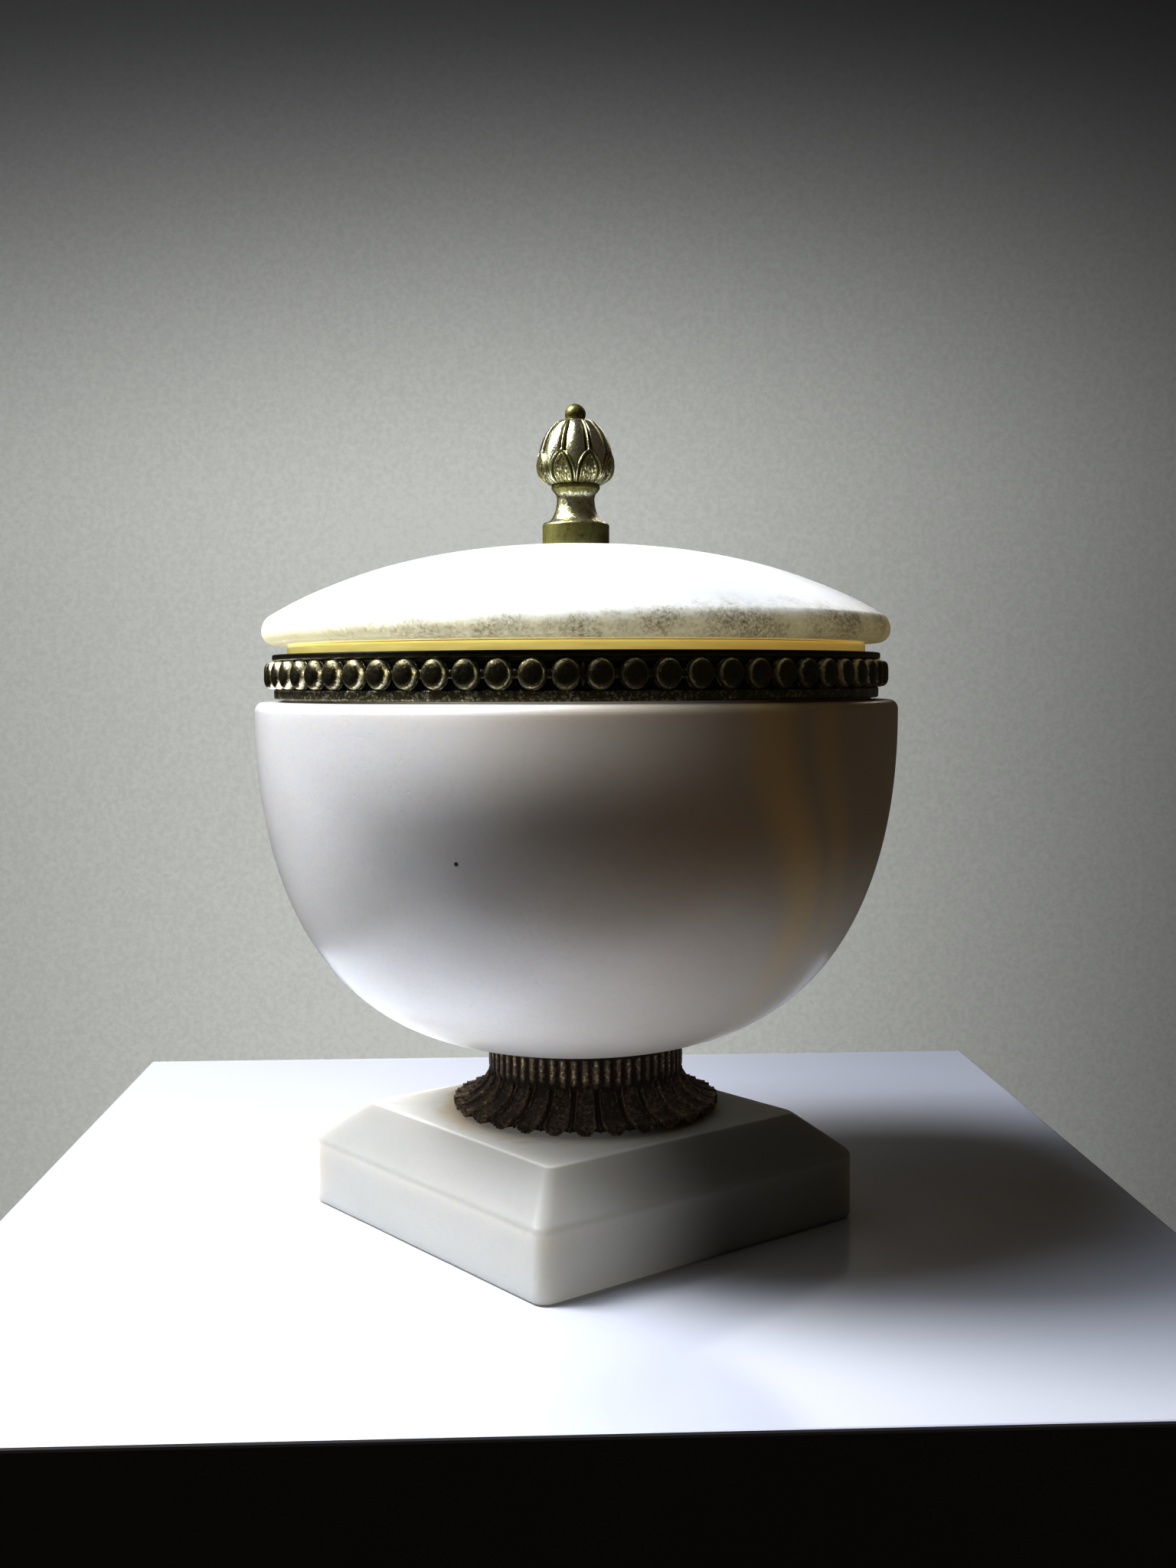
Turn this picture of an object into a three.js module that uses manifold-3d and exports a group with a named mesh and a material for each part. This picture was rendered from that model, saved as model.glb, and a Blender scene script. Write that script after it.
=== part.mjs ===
// Alabaster bonbonniere on its square plinth: a turned stone bowl and domed lid, held together
// with cast brass mounts. Millimetres, +Z up. The origin is the centre of the plinth's underside
// and the plinth's sides lie along X and Y.
import * as THREE from "three";
import { mergeVertices } from "three/addons/utils/BufferGeometryUtils.js";
import Module from "manifold-3d";

const wasm = await Module();
wasm.setup();

// Plinth: a square alabaster slab with upright sides and a broad sloping top edge.
const plinthSide = 93.5;
const plinthTopSide = 72.6;
const plinthHeight = 25.2;
const plinthUpright = 15.9;
const plinthCornerRadius = 3;
const plinthSoftEdge = 1.6;

// Narrow gap left wherever one piece rests on or around another.
const seatGap = 0.3;

// Leaf foot: a cast brass collar with a reeded neck above a spreading border of leaves. The
// casting sits a little off the bowl's axis on its bolt.
const footHeight = 16.3;
const footNeckRadius = 23.3;
const footNeckHeight = 5.3;
const footFlangeRadius = 31.4;
const footFlangeThickness = 2.4;
const footBoreRadius = 19;
const footHollowRadius = 26;
const footShift = 2.2;
const leafPitch = 7.05;
const reedsPerLeaf = 2;
const reedDepth = 0.7;
const leafRise = 1;
const leafScallop = 0.9;
const footEdgeChamfer = 0.8;
const footCollarHeight = 0.6;
// How far out across the cove the reeds fade and the leaves grow, as shares of its width.
const reedFadeStart = 0.1;
const reedFadeEnd = 0.5;
const leafGrowStart = 0.3;
const leafGrowEnd = 0.9;

// Bowl: its side follows a superellipse from the flat seat up to the widest circle.
const bowlRadius = 75;
const bowlBellyDepth = 79.5;
const bowlHeightPower = 2.21;
const bowlRadiusPower = 3.02;
const bowlSeatInset = 0.3;
const bowlWall = 8;
const bowlFloor = 9;
const bowlShoulderHeight = 2.2;
const bowlShoulderInset = 2;
const bowlLedgeWidth = 6.2;
const bowlRimStep = 1.3;
const bowlRimWall = 5.5;
const bowlRimProud = 2;
const bowlThroatHeight = 10;

// Beaded band: a brass ring around the bowl's neck, lipped over the step at its top.
const bandHeight = 10.2;
const bandLift = 0.5;
const bandWall = 0.9;
const bandTopFilletProud = 0.9;
const bandTopFilletHeight = 1.4;
const bandBottomFilletProud = 0.5;
const bandBottomFilletHeight = 2.2;
const bandLipThickness = 1;
const beadPitch = 6.66;
const beadHalfWidth = 2.7;
const beadHalfHeight = 3.05;
const beadRise = 2.8;
const beadRootDepth = 0.5;
const beadSink = 0.05;
const jointBeadHalfWidth = 0.5;
const jointBearing = THREE.MathUtils.degToRad(233);

// Lid: a low dome with a round edge, hollowed below, and a spigot that drops inside the mouth.
const lidSetback = 1.8;
const lidEdgeInset = 2.8;
const lidEdgeLowerHeight = 2.9;
const lidEdgeUpperHeight = 3.8;
const lidDomeRise = 16.6;
const lidDomeFlatness = 0.31;
const lidSeatMargin = 0.55;
const lidWall = 8.5;
const spigotClearance = 0.6;
const spigotDepth = 3;
const spigotWall = 6;

// Finial: a cast brass bud with eight petals and eight lobes, on a waisted stem.
const finialBaseRadius = 7.85;
const finialBaseHeight = 5.2;
const finialBaseChamfer = 0.5;
const finialWaistRadius = 4.4;
const finialWaistHeight = 10.9;
const finialCollarRadius = 5.7;
const finialCollarHeight = 13.1;
const finialCollarThickness = 0.9;
const budRadius = 9;
const budRootRadius = 5.2;
const budHeight = 15.2;
const budBellyHeight = 4.4;
const budTopRadius = 2.6;
const knobRadius = 2.45;
const knobHeight = 3.8;
const budLobes = 8;
const lobeDepth = 0.55;
const petalHeight = 7.6;
const petalRise = 0.4;
const petalPointPower = 0.6;
const groovePower = 4;

// Number of facets around each turned piece.
const bowlFacets = 44;
const lidFacets = 44;
const boreFacets = 24;
const beadFacets = 6;
const facetsPerLobe = 6;
const facetsPerReed = 2;

// Distance below which two points are one, and how far a cut runs past the face it opens.
const mergeDistance = 1e-4;
const overcut = 1;
const fullTurn = 2 * Math.PI;
const halfTurn = Math.PI;
const quarterTurn = Math.PI / 2;

// Radii, counts and heights worked out from the pieces that each one meets, from the plinth up.
const footBottom = plinthHeight + seatGap;
const leafCount = Math.round((fullTurn * footFlangeRadius) / leafPitch);
const bowlSeatRadius = footNeckRadius - bowlSeatInset;
const bowlSeat = footBottom + footHeight + seatGap;
const seatShare = Math.pow(1 - Math.pow(bowlSeatRadius / bowlRadius, bowlRadiusPower), 1 / bowlHeightPower);
const bowlWidest = bowlSeat + bowlBellyDepth * seatShare;
const bowlLedge = bowlWidest + bowlShoulderHeight;
const bowlNeckRadius = bowlRadius - bowlLedgeWidth;
const bowlRimRadius = bowlNeckRadius - bowlRimStep;
const bowlMouthRadius = bowlRimRadius - bowlRimWall;
const bandBottom = bowlLedge + bandLift;
const bandTop = bandBottom + bandHeight;
const bandLipUnderside = bandTop - bandLipThickness;
const bandBoreRadius = bowlNeckRadius + seatGap;
const bandGroundRadius = bandBoreRadius + bandWall;
const beadCount = Math.round((fullTurn * bandGroundRadius) / beadPitch);
const bandLipRadius = bowlRimRadius + seatGap;
const bowlNeckTop = bandLipUnderside - seatGap;
const bowlRimTop = bandTop + bowlRimProud;
const lidUnderside = bowlRimTop + seatGap;
const lidEdgeRadius = bowlRadius - lidSetback - lidEdgeInset;
const lidSeatRadius = finialBaseRadius + lidSeatMargin;
const lidWidest = lidUnderside + lidEdgeLowerHeight;
const lidShoulder = lidWidest + lidEdgeUpperHeight;
const spigotRadius = bowlMouthRadius - spigotClearance;

// Turn a geometry into a solid: only positions are kept, shared points are merged, and
// triangles that have shrunk to a line on the axis are dropped.
function toSolid(geometry) {
  const bare = new THREE.BufferGeometry();
  bare.setAttribute("position", geometry.getAttribute("position"));
  bare.setIndex(geometry.getIndex());
  const merged = mergeVertices(bare, mergeDistance);
  const corners = merged.getIndex().array;
  const kept = [];
  for (let first = 0; first < corners.length; first += 3) {
    const [a, b, c] = corners.slice(first, first + 3);
    if (a !== b && b !== c && c !== a) kept.push(a, b, c);
  }
  const mesh = new wasm.Mesh({
    numProp: 3,
    vertProperties: merged.getAttribute("position").array,
    triVerts: new Uint32Array(kept),
  });
  return new wasm.Manifold(mesh);
}

// Turn a solid back into a geometry with flat faces.
function toGeometry(solid) {
  const mesh = solid.getMesh();
  const geometry = new THREE.BufferGeometry();
  geometry.setAttribute("position", new THREE.BufferAttribute(mesh.vertProperties, 3));
  geometry.setIndex(new THREE.BufferAttribute(mesh.triVerts, 1));
  return geometry;
}

// Turn a closed outline of [radius, height] pairs about Z. The outline runs with the material
// on its left, and relief(angle, radius, height) moves a point outward and upward.
function turned(outline, facets, relief) {
  const points = outline.map(([radius, height]) => new THREE.Vector2(radius, height));
  const geometry = new THREE.LatheGeometry(points, facets);
  geometry.rotateX(quarterTurn);
  if (relief) {
    const position = geometry.getAttribute("position");
    for (let index = 0; index < position.count; index += 1) {
      const x = position.getX(index);
      const y = position.getY(index);
      const radius = Math.hypot(x, y);
      const height = position.getZ(index);
      const angle = Math.atan2(y, x);
      const [outward, upward] = relief(angle, radius, height);
      const reach = radius > 0 ? (radius + outward) / radius : 1;
      position.setXYZ(index, x * reach, y * reach, height + upward);
    }
  }
  return toSolid(geometry);
}

// Points of a quarter of an ellipse about [radius, height], from one bearing to another.
function ellipseArc(centre, halfWidth, halfHeight, from, to, steps) {
  const points = [];
  for (let step = 0; step <= steps; step += 1) {
    const angle = from + ((to - from) * step) / steps;
    points.push([centre[0] + halfWidth * Math.cos(angle), centre[1] + halfHeight * Math.sin(angle)]);
  }
  return points;
}

// Side of the bowl from a flat spot of the given radius up to its widest circle.
function bellyCurve(radius, depth, widest, flatRadius, steps) {
  const start = Math.acos(Math.pow(flatRadius / radius, bowlRadiusPower / 2));
  const points = [];
  for (let step = 0; step <= steps; step += 1) {
    const angle = start * (1 - step / steps);
    const reach = radius * Math.pow(Math.cos(angle), 2 / bowlRadiusPower);
    const drop = depth * Math.pow(Math.sin(angle), 2 / bowlHeightPower);
    points.push([reach, widest - drop]);
  }
  return points;
}

// Ring of points around a square with rounded corners, at one height.
function roundedSquare(half, cornerRadius, height) {
  const cornerSteps = 4;
  const ring = [];
  for (let corner = 0; corner < 4; corner += 1) {
    const start = corner * quarterTurn;
    const centreX = (half - cornerRadius) * Math.sign(Math.cos(start + quarterTurn / 2));
    const centreY = (half - cornerRadius) * Math.sign(Math.sin(start + quarterTurn / 2));
    for (let step = 0; step <= cornerSteps; step += 1) {
      const angle = start + (quarterTurn * step) / cornerSteps;
      ring.push(centreX + cornerRadius * Math.cos(angle), centreY + cornerRadius * Math.sin(angle), height);
    }
  }
  return ring;
}

// Skin over a stack of rings with the same number of points, closed flat at both ends.
function loft(rings) {
  const count = rings[0].length / 3;
  const last = rings.length - 1;
  const positions = rings.flat();
  positions.push(0, 0, rings[0][2], 0, 0, rings[last][2]);
  const bottomCentre = rings.length * count;
  const index = [];
  for (let point = 0; point < count; point += 1) {
    const next = (point + 1) % count;
    index.push(bottomCentre, next, point);
    index.push(bottomCentre + 1, last * count + point, last * count + next);
    for (let level = 0; level < last; level += 1) {
      const low = level * count;
      const high = low + count;
      index.push(low + point, low + next, high + next, low + point, high + next, high + point);
    }
  }
  const geometry = new THREE.BufferGeometry();
  geometry.setAttribute("position", new THREE.Float32BufferAttribute(positions, 3));
  geometry.setIndex(index);
  return toSolid(geometry);
}

function makePlinth() {
  const half = plinthSide / 2;
  const steps = 3;
  const rings = [];
  for (let step = 0; step <= steps; step += 1) {
    const angle = (quarterTurn * step) / steps;
    const inset = plinthSoftEdge * (1 - Math.sin(angle));
    const height = plinthSoftEdge * (1 - Math.cos(angle));
    rings.push(roundedSquare(half - inset, plinthCornerRadius, height));
  }
  rings.push(roundedSquare(half, plinthCornerRadius, plinthUpright));
  rings.push(roundedSquare(plinthTopSide / 2, plinthCornerRadius, plinthHeight));
  return loft(rings);
}

function makeFoot() {
  const neckBottom = footBottom + footHeight - footNeckHeight;
  const top = footBottom + footHeight;
  const flangeTop = footBottom + footFlangeThickness;
  const coveWidth = footFlangeRadius - footNeckRadius;
  const coveHeight = neckBottom - flangeTop;
  const cove = ellipseArc([footFlangeRadius, neckBottom], coveWidth, coveHeight, 1.5 * halfTurn, halfTurn, 4);
  const outline = [
    [0, footBottom],
    [footFlangeRadius - footEdgeChamfer, footBottom],
    [footFlangeRadius, footBottom + footEdgeChamfer],
    ...cove,
    [footNeckRadius, top - footCollarHeight],
    [footNeckRadius, top],
    [0, top],
  ];
  // Reeds stand on the neck and die into the cove. Leaves swell out of the cove's lower half
  // and scallop the edge. The rim, the underside and the bore stay plain.
  const relief = (angle, radius, height) => {
    const skin = radius > footNeckRadius - mergeDistance && height > footBottom + mergeDistance;
    if (!skin || height > top - mergeDistance) return [0, 0];
    const spread = THREE.MathUtils.clamp((radius - footNeckRadius) / coveWidth, 0, 1);
    const reed = Math.cos(angle * leafCount * reedsPerLeaf) / 2 - 0.5;
    const leaf = Math.cos(angle * leafCount) / 2 + 0.5;
    const reedShare = 1 - THREE.MathUtils.smoothstep(spread, reedFadeStart, reedFadeEnd);
    const leafShare = THREE.MathUtils.smoothstep(spread, leafGrowStart, leafGrowEnd);
    const outward = reedDepth * reed * reedShare + leafScallop * (leaf - 1) * leafShare;
    const upward = leafRise * (leaf - 0.5) * leafShare * (height > flangeTop - mergeDistance ? 1 : 0);
    return [outward, upward];
  };
  const bore = [
    [0, footBottom - overcut],
    [footHollowRadius, footBottom - overcut],
    [footHollowRadius, footBottom],
    [footBoreRadius, neckBottom],
    [footBoreRadius, top + overcut],
    [0, top + overcut],
  ];
  const casting = turned(outline, leafCount * reedsPerLeaf * facetsPerReed, relief);
  return casting.subtract(turned(bore, boreFacets));
}

function makeBowl() {
  const innerRadius = bowlRadius - bowlWall;
  const innerWidest = bowlLedge - bowlThroatHeight;
  const innerDepth = innerWidest - bowlSeat - bowlFloor;
  const ledgeRadius = bowlRadius - bowlShoulderInset;
  const inner = bellyCurve(innerRadius, innerDepth, innerWidest, 0, 5).reverse();
  const ledgeEdge = [ledgeRadius, bowlWidest];
  const shoulder = ellipseArc(ledgeEdge, bowlShoulderInset, bowlShoulderHeight, 0, quarterTurn, 2);
  const outline = [
    [0, bowlSeat],
    ...bellyCurve(bowlRadius, bowlBellyDepth, bowlWidest, bowlSeatRadius, 10),
    ...shoulder.slice(1),
    [bowlNeckRadius, bowlLedge],
    [bowlNeckRadius, bowlNeckTop],
    [bowlRimRadius, bowlNeckTop],
    [bowlRimRadius, bowlRimTop],
    [bowlMouthRadius, bowlRimTop],
    [bowlMouthRadius, bowlLedge],
    ...inner,
  ];
  return turned(outline, bowlFacets);
}

// One bead: a low dome, pole outward, with a short root inside the ring.
function makeBead(halfWidth) {
  const outline = [
    [0, -beadRootDepth / beadRise],
    [1, -beadRootDepth / beadRise],
    ...ellipseArc([0, 0], 1, 1, 0, quarterTurn, 2),
  ];
  return turned(outline, beadFacets).scale([beadHalfHeight, halfWidth, beadRise]);
}

function makeBand() {
  const outline = [
    [bandBoreRadius, bandBottom],
    [bandGroundRadius + bandBottomFilletProud, bandBottom],
    [bandGroundRadius + bandBottomFilletProud, bandBottom + bandBottomFilletHeight],
    [bandGroundRadius, bandBottom + bandBottomFilletHeight],
    [bandGroundRadius, bandTop - bandTopFilletHeight],
    [bandGroundRadius + bandTopFilletProud, bandTop - bandTopFilletHeight],
    [bandGroundRadius + bandTopFilletProud, bandTop],
    [bandLipRadius, bandTop],
    [bandLipRadius, bandLipUnderside],
    [bandBoreRadius, bandLipUnderside],
    [bandBoreRadius, bandBottom],
  ];
  // The ring has one facet for each bead, the first starting at -Y, and every bead stands on
  // the middle of a facet. Bearings are in degrees here.
  const pitch = 360 / beadCount;
  const facetStart = -90;
  const beadMiddle = (bandBottom + bandBottomFilletHeight + bandTop - bandTopFilletHeight) / 2;
  const pieces = [turned(outline, beadCount)];
  const facetRadius = bandGroundRadius * Math.cos(halfTurn / beadCount) - beadSink;
  const placeBead = (bead, bearing) => {
    pieces.push(bead.rotate([0, 90, 0]).translate([facetRadius, 0, beadMiddle]).rotate([0, 0, bearing]));
  };
  for (let index = 0; index < beadCount; index += 1) {
    placeBead(makeBead(beadHalfWidth), facetStart + (index + 0.5) * pitch);
  }
  // The strip's ends meet between two beads, where a sliver of a cut bead is left.
  placeBead(makeBead(jointBeadHalfWidth), facetStart);
  const turnToJoint = THREE.MathUtils.radToDeg(jointBearing) - facetStart;
  return wasm.Manifold.union(pieces).rotate([0, 0, turnToJoint]);
}

// Height of the lid's dome above its shoulder, at one distance from the axis.
function domeHeight(radius) {
  const share = radius / lidEdgeRadius;
  const fall = (1 - lidDomeFlatness) * share ** 2 + lidDomeFlatness * share ** 4;
  return lidDomeRise * (1 - fall);
}

function makeLid() {
  const domeSteps = 5;
  const dome = [];
  for (let step = 0; step < domeSteps; step += 1) {
    const radius = lidEdgeRadius + ((lidSeatRadius - lidEdgeRadius) * step) / (domeSteps - 1);
    dome.push([radius, lidShoulder + domeHeight(radius)]);
  }
  const seatHeight = lidShoulder + domeHeight(lidSeatRadius);
  const hollowRadius = spigotRadius - spigotWall;
  const spigotBottom = lidUnderside - spigotDepth;
  const hollowRise = seatHeight - lidWall - spigotBottom;
  const hollow = ellipseArc([0, spigotBottom], hollowRadius, hollowRise, quarterTurn, 0, 4);
  hollow[0][0] = 0;
  const centre = [lidEdgeRadius, lidWidest];
  const outline = [
    ...hollow,
    [spigotRadius, spigotBottom],
    [spigotRadius, lidUnderside],
    ...ellipseArc(centre, lidEdgeInset, lidEdgeLowerHeight, -quarterTurn, 0, 2),
    ...ellipseArc(centre, lidEdgeInset, lidEdgeUpperHeight, 0, quarterTurn, 2).slice(1, -1),
    ...dome,
    [0, seatHeight],
  ];
  return turned(outline, lidFacets);
}

function makeFinial() {
  const base = lidShoulder + domeHeight(lidSeatRadius) + seatGap;
  const budBottom = base + finialCollarHeight + finialCollarThickness;
  const budTop = budBottom + budHeight;
  const belly = budBottom + budBellyHeight;
  const waist = base + finialWaistHeight;
  const coveFoot = finialBaseRadius - finialBaseChamfer;
  const coveWidth = coveFoot - finialWaistRadius;
  const coveHeight = waist - base - finialBaseHeight;
  const lowerCove = ellipseArc([coveFoot, waist], coveWidth, coveHeight, 1.5 * halfTurn, halfTurn, 3);
  const rootWidth = budRadius - budRootRadius;
  const underBud = ellipseArc([budRootRadius, belly], rootWidth, budBellyHeight, -quarterTurn, 0, 2);
  const topWidth = budRadius - budTopRadius;
  const overBud = ellipseArc([budTopRadius, belly], topWidth, budTop - belly, 0, quarterTurn, 5);
  const knob = ellipseArc([0, budTop + knobHeight - knobRadius], knobRadius, knobRadius, 0, quarterTurn, 2);
  knob[knob.length - 1][0] = 0;
  const outline = [
    [0, base],
    [finialBaseRadius, base],
    [finialBaseRadius, base + finialBaseHeight - finialBaseChamfer],
    ...lowerCove,
    [finialCollarRadius, base + finialCollarHeight],
    [finialCollarRadius, budBottom],
    ...underBud,
    ...overBud.slice(1),
    [knobRadius, budTop],
    ...knob,
  ];
  // Grooves part the lobes, and petals lie over the bud's lower half between them.
  const relief = (angle, radius, height) => {
    const up = (height - budBottom) / budHeight;
    if (up <= 0 || up >= 1 || radius <= budRootRadius / 2) return [0, 0];
    const petalUp = (height - budBottom) / petalHeight;
    const fromLobe = Math.abs(Math.sin((angle * budLobes) / 2));
    const fade = Math.sin(up * halfTurn);
    const groove = -lobeDepth * fromLobe ** groovePower * fade;
    const petalWidth = petalUp < 1 ? Math.cos(petalUp * quarterTurn) ** petalPointPower : 0;
    const onPetal = 1 - Math.abs(Math.cos((angle * budLobes) / 2)) < petalWidth && petalUp < 1;
    return [onPetal ? petalRise * Math.min(1, fade * 2) : groove, 0];
  };
  return turned(outline, budLobes * facetsPerLobe, relief);
}

const alabaster = () => new THREE.MeshStandardMaterial({ color: 0xd8d5d2, roughness: 0.35, metalness: 0 });
const footBrass = () => new THREE.MeshStandardMaterial({ color: 0x3c2d1c, roughness: 0.45, metalness: 1 });
const bandBrass = () => new THREE.MeshStandardMaterial({ color: 0x7d6a35, roughness: 0.4, metalness: 1 });
const finialBrass = () => new THREE.MeshStandardMaterial({ color: 0xc7a94e, roughness: 0.25, metalness: 1 });

function addPiece(group, name, solid, material) {
  const mesh = new THREE.Mesh(toGeometry(solid), material);
  mesh.name = name;
  group.add(mesh);
  return mesh;
}

const bonbonniere = new THREE.Group();
bonbonniere.name = "bonbonniere";
addPiece(bonbonniere, "plinth", makePlinth(), alabaster());
addPiece(bonbonniere, "leaf_foot", makeFoot(), footBrass()).position.x = footShift;
addPiece(bonbonniere, "bowl", makeBowl(), alabaster());
addPiece(bonbonniere, "beaded_band", makeBand(), bandBrass());
addPiece(bonbonniere, "lid", makeLid(), alabaster());
addPiece(bonbonniere, "finial", makeFinial(), finialBrass());

export default bonbonniere;
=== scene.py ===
import math

import bmesh
import bpy
from mathutils import Matrix, Vector, noise


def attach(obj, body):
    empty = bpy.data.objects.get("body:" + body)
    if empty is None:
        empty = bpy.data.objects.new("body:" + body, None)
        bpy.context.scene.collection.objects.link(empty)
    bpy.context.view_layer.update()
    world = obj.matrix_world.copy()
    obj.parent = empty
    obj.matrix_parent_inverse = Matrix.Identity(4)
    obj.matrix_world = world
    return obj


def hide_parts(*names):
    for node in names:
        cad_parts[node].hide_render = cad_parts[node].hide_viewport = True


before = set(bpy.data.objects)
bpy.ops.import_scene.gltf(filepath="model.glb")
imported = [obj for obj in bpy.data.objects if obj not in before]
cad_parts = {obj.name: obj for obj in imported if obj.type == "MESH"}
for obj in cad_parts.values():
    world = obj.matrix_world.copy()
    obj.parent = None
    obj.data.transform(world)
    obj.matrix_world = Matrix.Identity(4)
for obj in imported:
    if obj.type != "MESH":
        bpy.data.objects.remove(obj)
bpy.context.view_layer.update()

# PLINTH
# A square slab of grey-white alabaster with a broad sloping top edge. It was sawn and
# bevelled by hand, then rubbed smooth, so its faces waver and its arrises are softened.

mm = 0.001
quarter = math.pi / 2

plinth_half = 46.75
plinth_top_half = 36.3
plinth_height = 25.2
plinth_upright = 15.9
plinth_foot_arris = 1.6
plinth_slope_arris = 1.1
plinth_top_arris = 0.5
plinth_corner = 3.0
plinth_top_corner = 2.0
hand_waver = 0.16          # how far the hand-cut faces waver
waver_length = 24.0        # and over what distance
chip_depth = 0.35          # small chips along the arrises
stone_damp = (0.36, 0.27, 0.14)


def node(tree, kind, sockets=None, **settings):
    """A shader or geometry node. A socket takes a value, or the output of another node."""
    made = tree.nodes.new(kind)
    for name, value in settings.items():
        setattr(made, name, value)
    for name, value in (sockets or {}).items():
        if isinstance(value, bpy.types.NodeSocket):
            tree.links.new(value, made.inputs[name])
        else:
            made.inputs[name].default_value = value
    return made


def reckon(tree, operation, *values):
    """The result of one sum on values or on other nodes' outputs."""
    return node(tree, "ShaderNodeMath", dict(enumerate(values)), operation=operation).outputs[0]


def step_between(tree, value, low, high, at_low=0.0, at_high=1.0):
    """Eases from at_low to at_high while value goes from low to high."""
    sockets = {"Value": value, "From Min": low, "From Max": high, "To Min": at_low, "To Max": at_high}
    made = node(tree, "ShaderNodeMapRange", sockets, interpolation_type="SMOOTHSTEP")
    return made.outputs["Result"]


def product(tree, *factors):
    """All the factors multiplied together."""
    whole = factors[0]
    for factor in factors[1:]:
        whole = reckon(tree, "MULTIPLY", whole, factor)
    return whole


def far_along(tree, place, direction):
    """How far a place lies along a direction, times that direction's length."""
    sockets = {0: place, 1: direction}
    return node(tree, "ShaderNodeVectorMath", sockets, operation="DOT_PRODUCT").outputs["Value"]


def off_axis(tree, place):
    """How far a place lies from the upright axis."""
    flat = node(tree, "ShaderNodeVectorMath", {0: place, 1: (1, 1, 0)}, operation="MULTIPLY").outputs[0]
    return node(tree, "ShaderNodeVectorMath", {0: flat}, operation="LENGTH").outputs["Value"]


def grain(tree, place, size, detail=3.0, roughness=0.5, distortion=0.0):
    """Noise whose lumps are about size metres across."""
    sockets = {"Vector": place, "Scale": 1 / size, "Detail": detail, "Roughness": roughness,
               "Distortion": distortion}
    return node(tree, "ShaderNodeTexNoise", sockets).outputs["Fac"]


def blend(tree, share, first, second, blend_type="MIX"):
    """Colour between first and second."""
    sockets = {0: share}
    for name, colour in ((6, first), (7, second)):
        sockets[name] = colour if isinstance(colour, bpy.types.NodeSocket) else (*colour, 1.0)
    made = node(tree, "ShaderNodeMix", sockets, data_type="RGBA", blend_type=blend_type)
    return made.outputs[2]


def moved(tree, place, offset=(0, 0, 0), scale=(1, 1, 1), turn=(0, 0, 0)):
    """Object coordinates shifted, turned and stretched."""
    sockets = {"Vector": place, "Location": offset, "Scale": scale, "Rotation": turn}
    return node(tree, "ShaderNodeMapping", sockets).outputs[0]


def new_finish(name):
    """An empty finish: the material, its tree, its shader and the object's coordinates."""
    finish = bpy.data.materials.new(name)
    finish.use_nodes = True
    tree = finish.node_tree
    shader = tree.nodes["Principled BSDF"]
    place = node(tree, "ShaderNodeTexCoord").outputs["Object"]
    return finish, tree, shader, place


def raise_bumps(tree, shader, height, depth, below=None):
    """Fine relief on a shader's surface, depth metres deep, over any relief below it."""
    sockets = {"Height": height, "Distance": depth, "Strength": 1.0}
    if below is not None:
        sockets["Normal"] = below
    made = node(tree, "ShaderNodeBump", sockets)
    tree.links.new(made.outputs[0], shader.inputs["Normal"])
    return made.outputs[0]


def alabaster(name, pale, cloud, vein, offset, glow, gloss):
    """Polished alabaster: soft clouds, a few fine veins and a waxy surface with faint pits."""
    finish, tree, shader, place = new_finish(name)
    here = moved(tree, place, offset)
    drift = grain(tree, moved(tree, here, scale=(1, 1, 1.6)), 0.045, 3, 0.5, 0.3)
    colour = blend(tree, step_between(tree, drift, 0.3, 0.75), pale, cloud)
    flow = grain(tree, moved(tree, here, turn=(0.5, 0.3, 0.2), scale=(1, 0.35, 1)), 0.04, 3, 0.5, 0.3)
    thread = reckon(tree, "ABSOLUTE", reckon(tree, "SUBTRACT", flow, 0.5))
    share = step_between(tree, thread, 0.0, 0.05, 0.08, 0.0)
    patch = step_between(tree, grain(tree, here, 0.06, 2), 0.5, 0.66)
    colour = blend(tree, product(tree, share, patch), colour, vein)
    crystals = grain(tree, here, 0.0011, 2, 0.6)
    colour = blend(tree, step_between(tree, crystals, 0.45, 0.75, 0.0, 0.12), colour, vein)
    wipe = grain(tree, here, 0.02, 3, 0.5)
    tree.links.new(step_between(tree, wipe, 0.3, 0.75, gloss - 0.015, gloss + 0.02),
                   shader.inputs["Roughness"])
    pits = step_between(tree, grain(tree, here, 0.0016, 3, 0.55), 0.27, 0.4)
    tool = grain(tree, moved(tree, here, scale=(1, 1, 3)), 0.006, 2)
    relief = reckon(tree, "MULTIPLY_ADD", tool, 0.6, pits)
    raise_bumps(tree, shader, relief, 0.00003)
    shader.inputs["Subsurface Weight"].default_value = glow
    shader.inputs["Subsurface Radius"].default_value = (1.0, 0.82, 0.62)
    shader.inputs["Subsurface Scale"].default_value = 0.006
    shader.inputs["IOR"].default_value = 1.52
    return finish, tree, shader, place, colour


def rounded_square(half, corner, height, side_steps, corner_steps):
    """Ring of points round a square with rounded corners."""
    ring = []
    for number in range(4):
        start = number * quarter
        ahead = Vector((math.cos(start), math.sin(start)))
        across = Vector((-ahead.y, ahead.x))
        for step in range(side_steps):
            along = (half - corner) * (2 * step / side_steps - 1)
            ring.append(Vector((*(ahead * half + across * along), height)))
        centre = (ahead + across) * (half - corner)
        for step in range(corner_steps):
            angle = start + quarter * step / corner_steps
            spot = centre + corner * Vector((math.cos(angle), math.sin(angle)))
            ring.append(Vector((*spot, height)))
    return ring


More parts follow.
